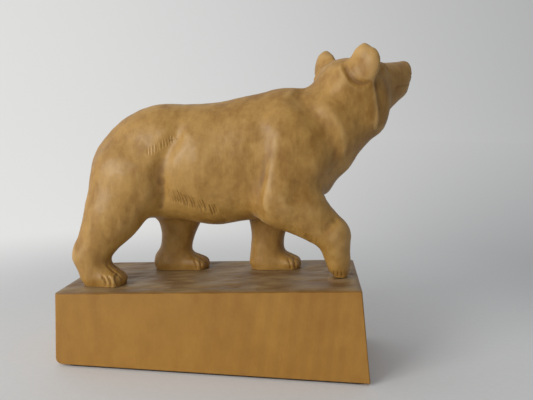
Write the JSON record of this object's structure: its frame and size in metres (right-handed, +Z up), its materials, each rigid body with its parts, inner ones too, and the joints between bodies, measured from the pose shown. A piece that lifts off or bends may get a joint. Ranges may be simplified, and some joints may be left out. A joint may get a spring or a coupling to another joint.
{
  "type": "carved wooden bear figurine",
  "caption": "Carved wooden bear in mid stride with raised, turned head, standing on a sloping wooden block plinth with felt beneath.",
  "frame": {"origin": "centre of the felt's underside, on the surface that the figurine stands on", "axes": "+X the way the bear walks, along the plinth; +Y to the bear's left, across the plinth; +Z up"},
  "size_m": [0.3517, 0.1267, 0.3257],
  "materials": {
    "carving": "waxed limewood, hand carved, satin",
    "plinth": "waxed limewood, gouge cut on top, satin",
    "dowel": "plain beech",
    "screw": "yellow zinc plated steel",
    "washer": "bright zinc plated steel",
    "felt": "dark brown wool felt"
  },
  "bodies": {
    "root": {"bear": "carving", "plinth": "plinth", "dowel_far_hind": "dowel", "screw_near_hind": "screw", "screw_far_fore": "screw", "washer_near_hind": "washer", "washer_far_fore": "washer", "felt": "felt"}
  },
  "joints": []
}
